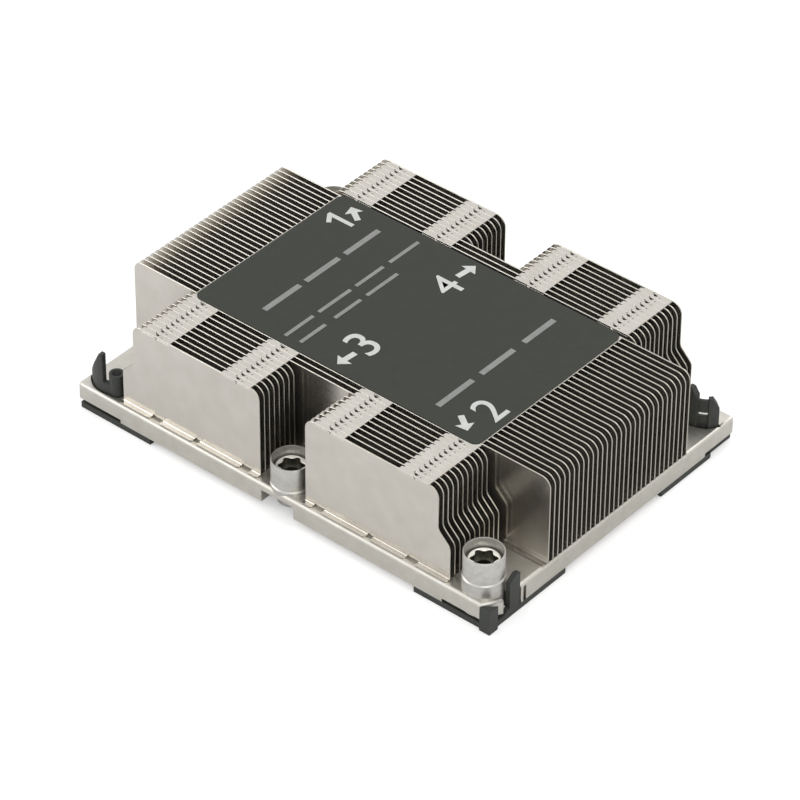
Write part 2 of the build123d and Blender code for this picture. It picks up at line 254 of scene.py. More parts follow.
def toned(tree, source, dark, light):
    ramp = addNode(tree, "ShaderNodeValToRGB", [("Fac", source, "Fac")])
    ramp.color_ramp.elements[0].position = 0.3
    ramp.color_ramp.elements[0].color = (*dark, 1)
    ramp.color_ramp.elements[1].position = 0.7
    ramp.color_ramp.elements[1].color = (*light, 1)
    return ramp


def dented(tree, source, depth, distance):
    bump = addNode(tree, "ShaderNodeBump", [("Height", source, "Fac")])
    bump.inputs["Strength"].default_value = depth
    bump.inputs["Distance"].default_value = distance
    return bump


def metalFinish(name, dark, light, rough, brush, scale, depth, metallic=1.0):
    material, tree, shader = paintTree(name)
    clouds = grain(tree, scale)
    lines = grain(tree, scale * 2, brush)
    tint = toned(tree, clouds, dark, light)
    sheen = spread(tree, lines, *rough)
    relief = dented(tree, lines, depth, 0.02 * mm)
    tree.links.new(tint.outputs["Color"], shader.inputs["Base Color"])
    tree.links.new(sheen.outputs["Result"], shader.inputs["Roughness"])
    tree.links.new(relief.outputs["Normal"], shader.inputs["Normal"])
    shader.inputs["Metallic"].default_value = metallic
    return material


def mouldedFinish(name, dark, light, rough, scale, depth, gloss=0.5):
    material, tree, shader = paintTree(name)
    clouds = grain(tree, scale * 0.2)
    pores = grain(tree, scale)
    tint = toned(tree, clouds, dark, light)
    sheen = spread(tree, clouds, *rough)
    relief = dented(tree, pores, depth, 0.03 * mm)
    shader.inputs["Specular IOR Level"].default_value = gloss
    tree.links.new(tint.outputs["Color"], shader.inputs["Base Color"])
    tree.links.new(sheen.outputs["Result"], shader.inputs["Roughness"])
    tree.links.new(relief.outputs["Normal"], shader.inputs["Normal"])
    return material


finSheet = metalFinish(
    "nickelFinSheet", (0.595, 0.565, 0.515), (0.645, 0.615, 0.565), (0.16, 0.26), (1, 1, 14), 260, 0.2,
    0.965)
cutEdge = metalFinish(
    "shearedFinEdge", (0.43, 0.415, 0.345), (0.49, 0.475, 0.405), (0.30, 0.40), (1, 1, 3), 900, 0.2)
platedPlate = metalFinish(
    "nickelPlate", (0.56, 0.54, 0.49), (0.62, 0.60, 0.55), (0.34, 0.46), (0.15, 3, 3), 420, 0.15)
turnedSteel = metalFinish(
    "turnedSteel", (0.50, 0.49, 0.46), (0.58, 0.57, 0.54), (0.36, 0.48), (0.2, 0.2, 8), 900, 0.3)
# The nut's bright plated metal, made lighter still: painted light from above on the head inside the sleeve
nutSteelWithPaintedLight = metalFinish(
    "nutSteelWithPaintedLight", (0.92, 0.90, 0.83), (0.97, 0.95, 0.89), (0.48, 0.58), (1, 1, 1), 1400, 0.15)
# The inside of the nut's recess is coloured darker than the nut: painted shade in the pit
nutRecessPaintedShade = metalFinish(
    "nutRecessPaintedShade", (0.17, 0.17, 0.14), (0.24, 0.24, 0.20), (0.36, 0.48), (1, 1, 1), 1400, 0.15)
springWire = metalFinish(
    "springWire", (0.36, 0.35, 0.34), (0.46, 0.45, 0.43), (0.2, 0.32), (1, 1, 1), 1500, 0.1)
clipPlastic = mouldedFinish(
    "blackPlastic", (0.032, 0.035, 0.031), (0.046, 0.049, 0.043), (0.46, 0.58), 2600, 0.35, 0.35)
labelFilm = mouldedFinish(
    "labelFilm", (0.0195, 0.0225, 0.016), (0.0245, 0.0275, 0.020), (0.36, 0.44), 3200, 0.1, 0.32)
labelInk = mouldedFinish(
    "labelInk", (0.56, 0.57, 0.55), (0.64, 0.65, 0.63), (0.5, 0.6), 3200, 0.1)
paleInk = mouldedFinish(
    "paleInk", (0.22, 0.225, 0.215), (0.27, 0.275, 0.265), (0.5, 0.6), 3200, 0.1)
print("finishes ready")


# Folded fins

finSize = {
    "pitch": 1.46,
    "thickness": 0.28,
    "cornerRadius": 2.3,
    "waistInset": 3.1,
    "waistHeight": 7.9,
    "waistRadius": 2.0,
    "notchWidth": 11.8,
    "foldGap": 0.04,
    "footLift": 0.12,
    "footSlit": 0.55,
    "foldRadius": 0.06,
    "foldHeight": 0.42,
    "edgeSoftness": 0.05,
    "tabWidth": 7.6,
    "tabInset": 2.4,
    "footGaps": ((2.3, 4.9), (16.1, 17.5), (26.1, 28.9)),
    "footChamfer": 0.5,
    "labelRim": 0.3,
    "sharpAngle": 12,
}
# The marks on a tab, along it and away from its sheet, about the tab's middle
tabMarks = {
    "holeStart": 0.42,
    "nickWidth": 0.5,
    "nickDepth": 0.26,
    "cornerCut": (0.9, 0.45),
    "longHole": ((-0.8, 0.26), (0, -0.4), (0.62, -0.14), (0.12, 0.16)),
    "shortHole": ((0.95, -0.34), (1.45, -0.34), (1.35, -0.08)),
    "lanceHinge": ((-0.45, 0.5), (0.7, 0.34)),
    "lanceTip": ((0.5, -0.02), (-0.2, 0.12)),
    "lanceLift": 0.15,
    "tongue": ((-0.75, -0.8), (0.13, -0.8), (0.35, -0.35), (-0.31, -0.1)),
    "tongueReach": 0.3,
    "tongueSoftness": 0.08,
}
foldSteps = 3
sideRows = 8
bridgeRows = 3
halfSheet = finSize["thickness"] / 2
halfNotch = finSize["notchWidth"] / 2
sideReach = nearHigh.x / mm
finReach = centreHigh.x / mm
foldEnd = finSize["pitch"] - halfSheet - finSize["foldGap"]
flatStart = finSize["foldHeight"] - halfSheet
lastRow = farHigh.y / mm - halfSheet
firstRow = nearLow.y / mm + foldEnd
rowCount = round((lastRow - firstRow) / finSize["pitch"]) + 1
centreRows = rowCount - 2 * sideRows - 2 * bridgeRows


def rowPlace(row):
    return lastRow - (rowCount - 1 - row) * finSize["pitch"]


def uprightSheet(u, v, w):
    return Vector((u, w, v))


def flatSheet(u, v, w):
    return Vector((u, v, w))


def acrossSheet(u, v, w):
    return Vector((w, u, v))


def liftedSheet(u, v, w):
    # A foot stands off the plate a little along its front edge
    return Vector((u, v, w - finSize["footLift"] * (v + flatStart) / (foldEnd - flatStart)))


def steppedEdge(spans, low, high, folded, plain):
    # The corners of an edge from low to high that stands back where a fold takes over
    corners = []
    for start, end in spans:
        corners += [(start, plain), (start, folded), (end, folded), (end, plain)]
    return [c for c in corners if not (c[1] == plain and c[0] in (low, high))]


def addFold(shape, start, end, edge, up, along, flatTo):
    # A strip folded over from the sheet's edge, with its round bend
    radius, bend = finSize["foldRadius"], finSize["foldHeight"]
    inner = bend - finSize["thickness"]
    arc = [(along * (radius * (1 - cos(a)) - halfSheet), edge + up * (radius * sin(a) - radius))
           for a in [pi / 2 * step / foldSteps for step in range(foldSteps + 1)]]
    low, foot = edge - up * finSize["thickness"], edge - up * bend
    profile = [
        (-along * halfSheet, foot), *arc, (along * flatTo, edge), (along * flatTo, low),
        (along * (halfSheet + inner), low), (along * halfSheet, foot)]
    addSlab(shape, profile, [], start, end, acrossSheet)


def addTab(shape, start, end, dimpled):
    # A tab at the top: its bend, and a flat that is pierced and lanced where it holds the next row
    addFold(shape, start, end, finTop, 1, 1, flatStart)
    outline = [(start, flatStart), (end, flatStart), (end, foldEnd), (start, foldEnd)]
    holes = []
    if dimpled:
        x, y = (start + end) / 2, flatStart + tabMarks["holeStart"]
        nick, depth = tabMarks["nickWidth"], tabMarks["nickDepth"]
        cutAlong, cutAcross = tabMarks["cornerCut"]
        outline[3:] = [
            (x - nick, foldEnd), (x - 1.5 * nick, foldEnd - depth), (x - 2 * nick, foldEnd),
            (start + cutAlong, foldEnd), (start, foldEnd - cutAcross)]
        holes = [[(x + u, y + v) for u, v in tabMarks[hole]] for hole in ("longHole", "shortHole")]
        # The lance, hinged behind its hole and lifted over it
        hinge = [(x + u, y + v, finTop) for u, v in tabMarks["lanceHinge"]]
        under = [(x + u, y + v, finTop) for u, v in tabMarks["lanceTip"]]
        tip = [(u, v, finTop + tabMarks["lanceLift"]) for u, v, _ in under]
        verts = [shape.verts.new(corner) for corner in hinge + tip + under]
        for face in ((0, 1, 2, 3), (1, 4, 2), (0, 3, 5), (3, 2, 4, 5)):
            shape.faces.new([verts[index] for index in face])
        # The tongue in front, seen only on the first row
        corners = [(x + u, finTop + v) for u, v in tabMarks["tongue"]]
        front = -halfSheet - tabMarks["tongueReach"]
        addSlab(shape, corners, [], front, -halfSheet, uprightSheet, tabMarks["tongueSoftness"])
    addSlab(shape, outline, holes, finTop - finSize["thickness"], finTop, flatSheet)


def addFoot(shape, start, end, chamfered):
    # A foot: its bend, and a flat with one corner cut away
    addFold(shape, start, end, plateTop, -1, -1, flatStart)
    outline = [(start, -flatStart), (start, -foldEnd), (end, -foldEnd), (end, -flatStart)]
    if chamfered:
        cut = finSize["footChamfer"]
        outline[2:3] = [(end - cut, -foldEnd), (end, cut - foldEnd)]
    addSlab(shape, outline, [], plateTop, plateTop + finSize["thickness"], liftedSheet)


def addFin(shape, lowX, highX, lowWaist, highWaist, feet, tabs, dimpled=True):
    radius, softness = finSize["cornerRadius"], finSize["edgeSoftness"]
    stepLow = plateTop + finSize["waistHeight"]
    stepHigh = stepLow + finSize["waistInset"]
    topLow = lowX + (finSize["waistInset"] if lowWaist else 0)
    topHigh = highX - (finSize["waistInset"] if highWaist else 0)
    waist = finSize["waistRadius"]
    bend = finSize["foldHeight"]
    corners = []
    # Between split feet the sheet stops short of the plate, which leaves a dark slit
    between = plateTop + (finSize["footSlit"] if len(feet) > 1 else 0)
    for x, z in steppedEdge(feet, lowX, highX, plateTop + bend, between):
        corners.append((x, z, 0))
    if highWaist:
        corners += [(highX, stepLow, waist), (topHigh, stepHigh, waist)]
    corners.append((topHigh, finTop, radius))
    for x, z in reversed(steppedEdge(tabs, topLow, topHigh, finTop - bend, finTop)):
        corners.append((x, z, 0))
    corners.append((topLow, finTop, radius))
    if lowWaist:
        corners += [(topLow, stepHigh, waist), (lowX, stepLow, waist)]
    addSlab(shape, roundedPath(corners), [], -halfSheet, halfSheet, uprightSheet, softness)
    for start, end in feet:
        addFoot(shape, start, end, len(feet) > 1)
    for start, end in tabs:
        addTab(shape, start, end, dimpled)


def mirrored(spans):
    return [(-end, -start) for start, end in reversed(spans)]


footStarts = [halfNotch, *[halfNotch + end for _, end in finSize["footGaps"]]]
footEnds = [*[halfNotch + start for start, _ in finSize["footGaps"]], sideReach]
splitFoot = list(zip(footStarts, footEnds))
innerTab = halfNotch + finSize["tabInset"]
outerTab = sideReach - finSize["waistInset"] - finSize["tabInset"]
tabWidth = finSize["tabWidth"]
rightTabs = [(innerTab, innerTab + tabWidth), (outerTab - tabWidth, outerTab)]
wholeFoot = [(halfNotch, sideReach)]


def sidePair(feet, tabs):
    shape = bmesh.new()
    addFin(shape, halfNotch, sideReach, False, True, feet, tabs)
    addFin(shape, -sideReach, -halfNotch, True, False, mirrored(feet), mirrored(tabs))
    return shape


def wideFin(reach, waisted, tabs, dimpled=True):
    shape = bmesh.new()
    addFin(shape, -reach, reach, waisted, waisted, [(-reach, reach)], tabs, dimpled)
    return shape


def finRowTree():
    # Copies of one fin in a row, at the pitch
    inputs = [
        ("Fin", "NodeSocketObject", None),
        ("Count", "NodeSocketInt", 1),
        ("Pitch", "NodeSocketFloat", 0.001),
        ("First", "NodeSocketFloat", 0.0),
        ("Material", "NodeSocketMaterial", None),
    ]
    tree, given, output = newTree("finRow", inputs)
    start = addNode(tree, "ShaderNodeCombineXYZ", [("Y", given, "First")])
    step = addNode(tree, "ShaderNodeCombineXYZ", [("Y", given, "Pitch")])
    line = addNode(
        tree, "GeometryNodeMeshLine",
        [("Count", given, "Count"), ("Start Location", start, "Vector"), ("Offset", step, "Vector")])
    source = addNode(tree, "GeometryNodeObjectInfo", [("Object", given, "Fin")])
    placed = addNode(
        tree, "GeometryNodeInstanceOnPoints", [("Points", line, "Mesh"), ("Instance", source, "Geometry")])
    endTree(tree, given, output, placed, "Instances")
    return tree


finRow = finRowTree()
allTabs = mirrored(rightTabs) + rightTabs
rim = finSize["labelRim"]
labelTab = [(labelLow.x / mm - rim, labelHigh.x / mm + rim)]  # the label lies on this one
farFirst = rowCount - sideRows
finStacks = {
    "centreFinRows": (
        "centre_fins",
        [(wideFin(finReach, False, labelTab, False), sideRows + bridgeRows, centreRows - 1),
         (wideFin(finReach, False, []), sideRows + bridgeRows + centreRows - 1, 1)]),
    "nearBridgeFinRows": (
        "near_bridge_fins", [(wideFin(sideReach, True, allTabs), sideRows, bridgeRows)]),
    "farBridgeFinRows": (
        "far_bridge_fins", [(wideFin(sideReach, True, allTabs), farFirst - bridgeRows, bridgeRows)]),
    "nearSideFinRows": (
        "near_side_fins",
        [(sidePair(splitFoot, rightTabs), 0, 1), (sidePair(wholeFoot, rightTabs), 1, sideRows - 1)]),
    "farSideFinRows": (
        "far_side_fins",
        [(sidePair(wholeFoot, rightTabs), farFirst, sideRows - 1),
         (sidePair(wholeFoot, []), rowCount - 1, 1)]),
}
for pieceName, (node, groups) in finStacks.items():
    joined = bmesh.new()
    for shape, first, count in groups:
        source = bpy.data.objects.new("finSource", meshFrom(shape, "finSource", finSize["sharpAngle"]))
        bpy.context.scene.collection.objects.link(source)
        rows = grownMesh(pieceName, finRow, {
            "Fin": source,
            "Count": count,
            "Pitch": finSize["pitch"] * mm,
            "First": rowPlace(first) * mm,
            "Material": finSheet,
        })
        joined.from_mesh(rows)
        bpy.data.objects.remove(source)
    mesh = bpy.data.meshes.new(pieceName)
    joined.to_mesh(mesh)
    joined.free()
    mesh.set_sharp_from_angle(angle=radians(finSize["sharpAngle"]))
    finishedPiece(pieceName, mesh, finSheet, "cooler", [node])
    # The sheared edges of the upright sheets are duller than their faces and bends
    mesh.materials.append(cutEdge)
    for face in mesh.polygons:
        row = (face.center.y / mm - lastRow) / finSize["pitch"]
        offset = abs(row - round(row)) * finSize["pitch"]
        bent = any(start < face.center.x / mm < end for start, end in allTabs)
        if abs(face.normal.y) < 0.5 and offset < halfSheet and not bent:
            face.material_index = 1
    print(pieceName, len(mesh.polygons), "faces")


# Base plate and carrier clip: the frame's own forms with softened edges

softEdges = {
    "weldDistance": 0.002,
    "flatAngle": 1,
    "edgeAngle": 40,
    "steps": 2,
    "sharpAngle": 30,
    "plateWidth": 0.08,
    "clipWidth": 0.10,
}


def softCopy(node, name, width):
    shape = bmesh.new()
    shape.from_mesh(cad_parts[node].data)
    bmesh.ops.remove_doubles(shape, verts=shape.verts, dist=softEdges["weldDistance"] * mm)
    bmesh.ops.dissolve_limit(
        shape, angle_limit=radians(softEdges["flatAngle"]), verts=shape.verts, edges=shape.edges)
    least = radians(softEdges["edgeAngle"])
    rims = [e for e in shape.edges if e.is_manifold and e.calc_face_angle() > least]
    bmesh.ops.bevel(
        shape, geom=rims, offset=width * mm, segments=softEdges["steps"], affect="EDGES",
        clamp_overlap=True)
    mesh = bpy.data.meshes.new(name)
    shape.to_mesh(mesh)
    shape.free()
    mesh.polygons.foreach_set("use_smooth", [True] * len(mesh.polygons))
    mesh.set_sharp_from_angle(angle=radians(softEdges["sharpAngle"]))
    # The large faces keep their own normals, so that the soft edges don't shade across them
    holder = bpy.data.objects.new(name, mesh)
    bpy.context.scene.collection.objects.link(holder)
    weighted = holder.modifiers.new("Weighted", "WEIGHTED_NORMAL")
    weighted.keep_sharp = True
    weighted.weight = 100
    mesh = settledMesh(holder)
    mesh.name = name
    return mesh


plateMesh = softCopy("base_plate", "platedBase", softEdges["plateWidth"])
finishedPiece("platedBase", plateMesh, platedPlate, "cooler", ["base_plate"])
clipMesh = softCopy("carrier_clip", "mouldedClip", softEdges["clipWidth"])
finishedPiece("mouldedClip", clipMesh, clipPlastic, "cooler", ["carrier_clip"])
print("plate and clip ready")


# Stations: turned sleeves, captive nuts, rings and springs

sleeveSize = {
    "tube": 4.2,
    "bore": 3.85,
    "collar": 4.35,
    "hole": 2.58,
    "ledgeDrop": 5.5,
    "floor": 0.6,
    "rimBevel": 0.15,
    "groove": 0.14,
    "spigot": 3.8,
    "lowerBore": 3.35,
    "ringGap": 0.05,
    "tallFrom": 10,
}
nutSize = {
    "head": 3.3,
    "headHeight": 2.2,
    "barrel": 2.5,
    "bevel": 0.25,
    "recessDepth": 1.8,
    "recessCore": 2.15,
    "recessReach": 2.8,
    "recessTurn": 40,
    "lobeSharpness": 1.3,
    "mouthBevel": 0.12,
    "thread": 1.65,
    "threadDepth": 0.1,
    "threadPitch": 0.7,
    "threadSteps": 7,
}
ringSize = {"bevel": 0.15, "seatGap": 0.02, "steps": 64}
springSize = {
    "wire": 0.5, "turns": 2.75, "gap": 0.25, "travel": 1.02, "turnSteps": 48, "wireSteps": 16}


def sleeveRings(bottom, rim, under):
    # From the hole in its floor up the bore, over the rim and down the outside to the collar.
    # A tall sleeve goes on through the plate with its spigot.
    size = sleeveSize
    ledge = rim - size["ledgeDrop"]
    bevel, groove = size["rimBevel"], size["groove"]
    floorTop = under + size["floor"]
    rings = [
        (size["hole"], under),
        (size["hole"], floorTop),
        (size["bore"], floorTop),
        (size["bore"], rim - bevel),
        (size["bore"] + bevel * 0.4, rim),
        (size["tube"] - bevel * 0.6, rim),
        (size["tube"], rim - bevel),
        (size["tube"], ledge + 3 * groove),
        (size["tube"] - groove, ledge + 2 * groove),
        (size["tube"] - groove, ledge + groove),
        (size["collar"] - groove, ledge),
        (size["collar"], ledge - groove),
    ]
    if rim - bottom < size["tallFrom"]:
        return rings + [(size["collar"], under)]
    return rings + [
        (size["collar"], plateTop),
        (size["spigot"], plateTop),
        (size["spigot"], bottom),
        (size["lowerBore"], bottom),
        (size["lowerBore"], under),
    ]


def spiralTree():
    # A round wire along a coil
    inputs = [
        ("Turns", "NodeSocketFloat", 1.0),
        ("Radius", "NodeSocketFloat", 0.001),
        ("Height", "NodeSocketFloat", 0.001),
        ("Wire", "NodeSocketFloat", 0.0001),
        ("Place", "NodeSocketVector", (0.0, 0.0, 0.0)),
        ("Material", "NodeSocketMaterial", None),
    ]
    tree, given, output = newTree("coilSpring", inputs)
    coil = addNode(
        tree, "GeometryNodeCurveSpiral",
        [("Rotations", given, "Turns"), ("Start Radius", given, "Radius"),
         ("End Radius", given, "Radius"), ("Height", given, "Height")])
    coil.inputs["Resolution"].default_value = springSize["turnSteps"]
    section = addNode(tree, "GeometryNodeCurvePrimitiveCircle", [("Radius", given, "Wire")])
    section.inputs["Resolution"].default_value = springSize["wireSteps"]
    wire = addNode(
        tree, "GeometryNodeCurveToMesh", [("Curve", coil, "Curve"), ("Profile Curve", section, "Curve")])
    wire.inputs["Fill Caps"].default_value = True
    placed = addNode(
        tree, "GeometryNodeTransform", [("Geometry", wire, "Mesh"), ("Translation", given, "Place")])
    smooth = addNode(tree, "GeometryNodeSetShadeSmooth", [("Geometry", placed, "Geometry")])
    endTree(tree, given, output, smooth)
    return tree


coilTree = spiralTree()


def recessEdge(angle):
    # Six lobes around the core of the recess
    wave = (1 + cos(6 * (angle - radians(nutSize["recessTurn"])))) / 2
    reach = nutSize["recessReach"] - nutSize["recessCore"]
    return nutSize["recessCore"] + reach * wave ** nutSize["lobeSharpness"]


def mouthEdge(angle):
    return recessEdge(angle) + nutSize["mouthBevel"]


def nutRings(low, high):
    # From the bottom up the barrel and the head, then down the recess and the threaded bore
    size = nutSize
    headLow = high - size["headHeight"]
    floor = high - size["recessDepth"]
    bevel = size["bevel"]
    rings = [
        (size["thread"], low),
        (size["barrel"] - bevel, low),
        (size["barrel"], low + bevel),
        (size["barrel"], headLow),
        (size["head"] - bevel / 2, headLow),
        (size["head"], headLow + bevel / 2),
        (size["head"], high - bevel),
        (size["head"] - bevel, high),
        (mouthEdge, high),
        (recessEdge, high - size["mouthBevel"]),
        (recessEdge, floor),
        (size["thread"], floor),
    ]
    # The fine thread: each ring of the bore rises and falls with its angle
    slices = int((floor - low) / size["threadPitch"] * size["threadSteps"])
    for index in range(1, slices):
        height = floor - (floor - low) * index / slices

        def threadEdge(angle, height=height):
            phase = (height / nutSize["threadPitch"] - angle / (2 * pi)) % 1
            return nutSize["thread"] + nutSize["threadDepth"] * (1 - abs(2 * phase - 1))

        rings.append((threadEdge, height))
    return rings


for number in "1234":
    sleeveLow, sleeveHigh = [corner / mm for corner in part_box("sleeve_" + number)]
    nutLow, nutHigh = [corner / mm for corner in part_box("nut_" + number)]
    ringLow, ringHigh = [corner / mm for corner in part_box("retaining_ring_" + number)]
    coilLow, coilHigh = [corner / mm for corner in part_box("spring_" + number)]
    centre = ((nutLow.x + nutHigh.x) / 2, (nutLow.y + nutHigh.y) / 2)
    rings = sleeveRings(sleeveLow.z, sleeveHigh.z, ringHigh.z + sleeveSize["ringGap"])
    mesh = ringMesh("turnedSleeve_" + number, centre, rings)
    finishedPiece(
        "turnedSleeve_" + number, mesh, turnedSteel, "cooler", ["sleeve_" + number])

    mesh = ringMesh("captiveNut_" + number, centre, nutRings(nutLow.z, nutHigh.z))
    finishedPiece(
        "captiveNut_" + number, mesh, nutSteelWithPaintedLight, "nut_" + number, ["nut_" + number])
    mesh.materials.append(nutRecessPaintedShade)
    # Faces down in the recess take the darker finish, which paints shade into the recess
    for face in mesh.polygons:
        reach = (Vector(face.center[:2]) / mm - Vector(centre)).length
        below = nutHigh.z - face.center.z / mm
        if reach < nutSize["recessReach"] and below > nutSize["mouthBevel"]:
            face.material_index = 1

    inner = nutSize["barrel"] + ringSize["seatGap"]
    outer = (ringHigh.x - ringLow.x) / 2
    bevel = ringSize["bevel"]
    rings = [
        (inner, ringLow.z), (outer - bevel, ringLow.z), (outer, ringLow.z + bevel),
        (outer, ringHigh.z - bevel), (outer - bevel, ringHigh.z), (inner, ringHigh.z)]
    mesh = ringMesh("stopRing_" + number, centre, rings, ringSize["steps"])
    finishedPiece(
        "stopRing_" + number, mesh, springWire, "ring_" + number,
        ["retaining_ring_" + number])

    halfWire = springSize["wire"] / 2
    height = coilHigh.z - coilLow.z
    mesh = grownMesh("coilSpring_" + number, coilTree, {
        "Turns": springSize["turns"],
        "Radius": (nutSize["barrel"] + springSize["gap"] + halfWire) * mm,
        "Height": (height - springSize["wire"]) * mm,
        "Wire": halfWire * mm,
        "Place": (centre[0] * mm, centre[1] * mm, (coilLow.z + halfWire) * mm),
        "Material": springWire,
    })
    piece = finishedPiece(
        "coilSpring_" + number, mesh, springWire, "cooler", ["spring_" + number])
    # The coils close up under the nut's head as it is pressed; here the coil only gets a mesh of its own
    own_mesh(piece)
print("stations ready")


# Label: a dark film with plain print. The numerals give the order of the nuts.

labelSize = {
    "inkHeight": 0.03,
    "cornerRadius": 1.8,
    "weight": 0.004,
    "shortestWord": 0.66,
    "longestWord": 0.9,
    "narrowMiddle": 0.27,
}
numerals = {
    "1": {"centre": (-31.1, 15.2), "height": 6.7, "outline": (
        (0.35, 0), (0.35, 0.78), (0.12, 0.62), (0.03, 0.74), (0.38, 1), (0.5, 1), (0.5, 0))},
    "2": {"centre": (31.5, -12.3), "height": 7.2},
    "3": {"centre": (-0.6, -12.4), "height": 8.0},
    "4": {"centre": (-0.4, 13.0), "height": 7.0},
}
arrows = {
    "1": ((-28.2, 18.3), (-32.3, 20.9)),
    "2": ((28.5, -17.2), (32.5, -20.0)),
    "3": ((0.2, -15.6), (-0.2, -20.6)),
    "4": ((-0.6, 16.8), (0.0, 22.0)),
}
arrowSize = {"headLength": 2.1, "headWidth": 3.9, "shaftWidth": 1.3}
printLines = {
    "topLine": {"x": -22.7, "start": -17.5, "end": 19.3, "height": 1.3, "words": 3, "seed": 3},
    "upperNote": {"x": -14.0, "start": -21.5, "end": 21.5, "height": 0.85, "words": 4, "seed": 5},
    "lowerNote": {"x": -10.3, "start": -21.5, "end": 10.2, "height": 0.85, "words": 3, "seed": 8},
    "bottomLine": {"x": 23.2, "start": -19.0, "end": 20.0, "height": 1.3, "words": 3, "seed": 6},
}

filmTop = labelHigh.z / mm - labelSize["inkHeight"]
inkTop = labelHigh.z / mm
filmLow, filmHigh = labelLow / mm, labelHigh / mm
shape = bmesh.new()
corner = labelSize["cornerRadius"]
outline = roundedPath([
    (filmLow.x, filmLow.y, corner), (filmHigh.x, filmLow.y, corner),
    (filmHigh.x, filmHigh.y, corner), (filmLow.x, filmHigh.y, corner)])
addSlab(shape, outline, [], filmLow.z, filmTop, flatSheet)
finishedPiece("labelFilm", meshFrom(shape, "labelFilm"), labelFilm, "cooler", ["label_sheet"])


def arrowOutline(tail, tip):
    tail, tip = Vector(tail), Vector(tip)
    along = (tip - tail).normalized()
    side = Vector((-along.y, along.x))
    neck = tip - along * arrowSize["headLength"]
    shaft, head = side * arrowSize["shaftWidth"] / 2, side * arrowSize["headWidth"] / 2
    return [tail - shaft, neck - shaft, neck - head, tip, neck + head, neck + shaft, tail + shaft]


def numeralMesh(digit, centre, height):
    # The digit reads along +Y, with its top towards -X
    text = bpy.data.curves.new("numeral_" + digit, "FONT")
    text.body = digit
    text.extrude = labelSize["inkHeight"] / 2 * mm
    text.offset = labelSize["weight"]
    holder = bpy.data.objects.new("numeral_" + digit, text)
    bpy.context.scene.collection.objects.link(holder)
    mesh = settledMesh(holder)
    xs = [v.co.x for v in mesh.vertices]
    ys = [v.co.y for v in mesh.vertices]
    middle = Vector(((min(xs) + max(xs)) / 2, (min(ys) + max(ys)) / 2, 0))
    scale = height * mm / (max(ys) - min(ys))
    level = (filmTop + inkTop) / 2 * mm
    mesh.transform(
        Matrix.Translation((centre[0] * mm, centre[1] * mm, level))
        @ Matrix.Rotation(pi / 2, 4, "Z") @ Matrix.Diagonal((scale, scale, 1, 1))
        @ Matrix.Translation(-middle))
    return mesh


def drawnNumeral(digit, centre, height, outline):
    # A digit drawn as an outline in parts of its height, turned as the others are
    shape = bmesh.new()
    middle = labelSize["narrowMiddle"]
    path = [
        (centre[0] - (up - 0.5) * height, centre[1] + (along - middle) * height) for along, up in outline]
    addSlab(shape, path, [], filmTop, inkTop, flatSheet)
    return meshFrom(shape, "numeral_" + digit)


for digit, numeral in numerals.items():
    if "outline" in numeral:
        mesh = drawnNumeral(digit, numeral["centre"], numeral["height"], numeral["outline"])
    else:
        mesh = numeralMesh(digit, numeral["centre"], numeral["height"])
    finishedPiece("numeral_" + digit, mesh, labelInk, "cooler")
    shape = bmesh.new()
    addSlab(shape, arrowOutline(*arrows[digit]), [], filmTop, inkTop, flatSheet)
    finishedPiece("arrow_" + digit, meshFrom(shape, "arrow_" + digit), labelInk, "cooler")


def printedLineTree():
    # Plain bars of uneven length in a row, one for each word's place
    inputs = [
        ("Words", "NodeSocketInt", 3),
        ("Start", "NodeSocketVector", (0.0, 0.0, 0.0)),
        ("Step", "NodeSocketFloat", 0.01),
        ("Bar Height", "NodeSocketFloat", 0.001),
        ("Ink", "NodeSocketFloat", 0.0001),
        ("Seed", "NodeSocketInt", 1),
        ("Material", "NodeSocketMaterial", None),
    ]
    tree, given, output = newTree("printedLine", inputs)
    step = addNode(tree, "ShaderNodeCombineXYZ", [("Y", given, "Step")])
    line = addNode(
        tree, "GeometryNodeMeshLine",
        [("Count", given, "Words"), ("Start Location", given, "Start"), ("Offset", step, "Vector")])
    size = addNode(
        tree, "ShaderNodeCombineXYZ",
        [("X", given, "Bar Height"), ("Y", given, "Step"), ("Z", given, "Ink")])
    bar = addNode(tree, "GeometryNodeMeshCube", [("Size", size, "Vector")])
    share = addNode(tree, "FunctionNodeRandomValue", [("Seed", given, "Seed")], data_type="FLOAT")
    share.inputs[2].default_value = labelSize["shortestWord"]
    share.inputs[3].default_value = labelSize["longestWord"]
    scale = addNode(tree, "ShaderNodeCombineXYZ")
    scale.inputs["X"].default_value = 1
    scale.inputs["Z"].default_value = 1
    tree.links.new(share.outputs[1], scale.inputs["Y"])
    placed = addNode(
        tree, "GeometryNodeInstanceOnPoints",
        [("Points", line, "Mesh"), ("Instance", bar, "Mesh"), ("Scale", scale, "Vector")])
    endTree(tree, given, output, placed, "Instances")
    return tree


printedLine = printedLineTree()
for lineName, line in printLines.items():
    step = (line["end"] - line["start"]) / line["words"]
    level = (filmTop + inkTop) / 2
    mesh = grownMesh(lineName, printedLine, {
        "Words": line["words"],
        "Start": (line["x"] * mm, (line["start"] + step / 2) * mm, level * mm),
        "Step": step * mm,
        "Bar Height": line["height"] * mm,
        "Ink": labelSize["inkHeight"] * mm,
        "Seed": line["seed"],
        "Material": paleInk,
    })
    finishedPiece(lineName, mesh, paleInk, "cooler")
print("label ready")


# Camera at the photograph's angle

cameraSize = {
    "azimuth": 39.935,
    "elevation": 38.451,
    "roll": 0.43,
    "distance": 896.9,
    "target": (5.486, -8.097, 12.2),
    "focalPixels": 4503.9,
    "framePixels": 800,
    "sensor": 36.0,
}


